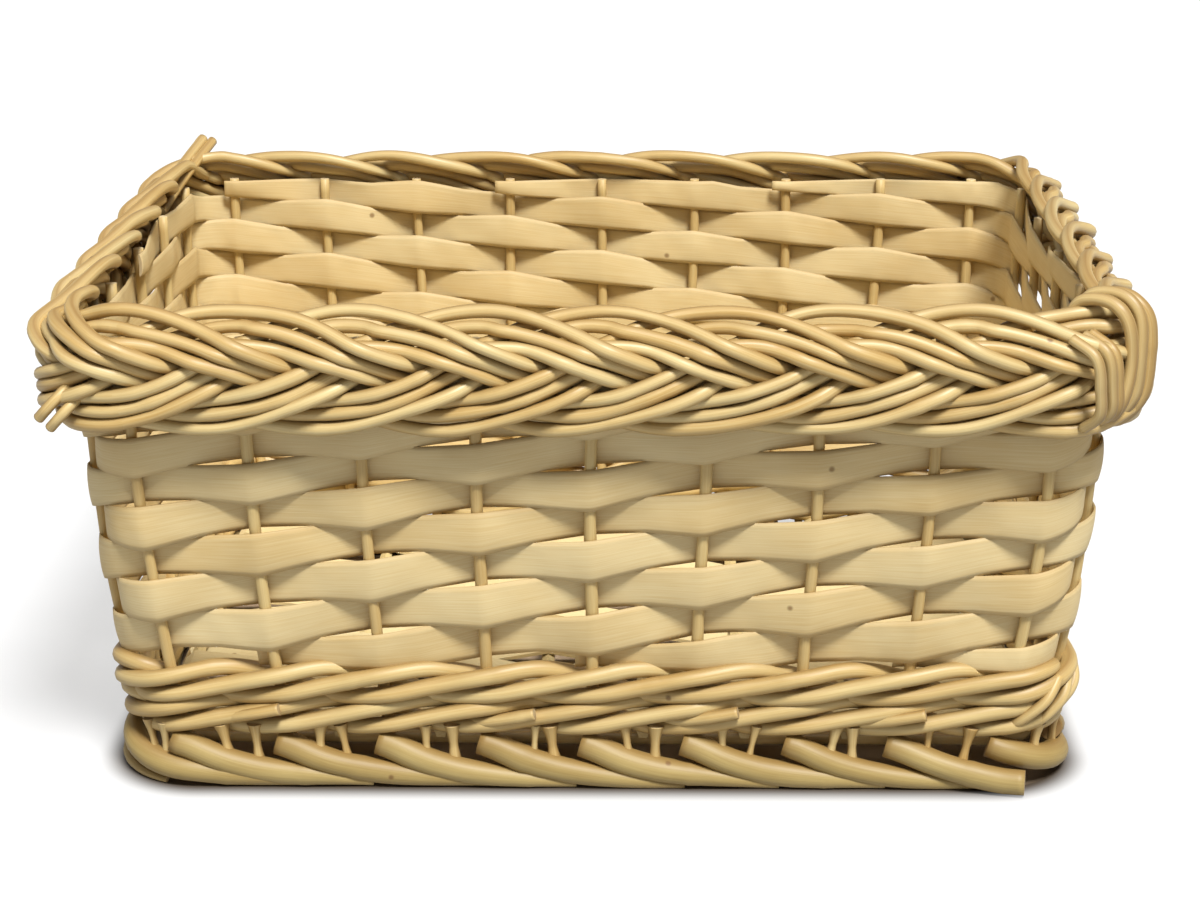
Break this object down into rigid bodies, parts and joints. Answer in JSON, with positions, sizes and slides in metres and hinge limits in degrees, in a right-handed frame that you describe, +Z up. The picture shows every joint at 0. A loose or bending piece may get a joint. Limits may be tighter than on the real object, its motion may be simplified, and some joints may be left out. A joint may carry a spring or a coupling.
{
  "type": "split willow basket",
  "caption": "Open rectangular basket of split willow woven on round uprights, with a plaited rim, a wale and a foot of bent rods, and a woven base.",
  "frame": {"origin": "centre of the footprint, on the surface that the basket stands on", "axes": "+X along the basket's length, +Y from the front wall of the picture to the back wall, +Z up"},
  "size_m": [0.4438, 0.3238, 0.2068],
  "materials": {
    "split_willow": "pale split willow, shaved flat, matte with a fine lengthwise grain",
    "peeled_stick": "peeled willow stick, matte, with a thicker rod for the foot",
    "peeled_rod": "peeled willow rod, softly shiny",
    "border_rod": "peeled willow rod, softly shiny, slightly darker with age"
  },
  "bodies": {
    "root": {"upright_front_1": "peeled_stick", "upright_front_2": "peeled_stick", "upright_front_3": "peeled_stick", "upright_front_4": "peeled_stick", "upright_front_5": "peeled_stick", "upright_front_6": "peeled_stick", "upright_front_7": "peeled_stick", "upright_front_8": "peeled_stick", "upright_front_9": "peeled_stick", "upright_right_1": "peeled_stick", "upright_right_2": "peeled_stick", "upright_right_3": "peeled_stick", "upright_right_4": "peeled_stick", "upright_right_5": "peeled_stick", "upright_back_1": "peeled_stick", "upright_back_2": "peeled_stick", "upright_back_3": "peeled_stick", "upright_back_4": "peeled_stick", "upright_back_5": "peeled_stick", "upright_back_6": "peeled_stick", "upright_back_7": "peeled_stick", "upright_back_8": "peeled_stick", "upright_back_9": "peeled_stick", "upright_left_1": "peeled_stick", "upright_left_2": "peeled_stick", "upright_left_3": "peeled_stick", "upright_left_4": "peeled_stick", "upright_left_5": "peeled_stick", "split_strip_1": "split_willow", "split_strip_2": "split_willow", "split_strip_3": "split_willow", "split_strip_4": "split_willow", "split_strip_5": "split_willow", "split_strip_6": "split_willow", "split_strip_7": "split_willow", "split_strip_8": "split_willow", "wale_rod_1": "peeled_rod", "wale_rod_2": "peeled_rod", "wale_rod_3": "peeled_rod", "border_strand_1_rod_1": "border_rod", "border_strand_1_rod_2": "border_rod", "border_strand_2_rod_1": "border_rod", "border_strand_2_rod_2": "border_rod", "border_strand_3_rod_1": "border_rod", "border_strand_3_rod_2": "border_rod", "border_strand_4_rod_1": "border_rod", "border_strand_4_rod_2": "border_rod", "border_strand_5_rod_1": "border_rod", "border_strand_5_rod_2": "border_rod", "base_stick_1": "peeled_stick", "base_stick_2": "peeled_stick", "base_stick_3": "peeled_stick", "base_stick_4": "peeled_stick", "base_stick_5": "peeled_stick", "base_stick_6": "peeled_stick", "base_stick_7": "peeled_stick", "base_stick_8": "peeled_stick", "base_weave": "split_willow"}
  },
  "joints": []
}
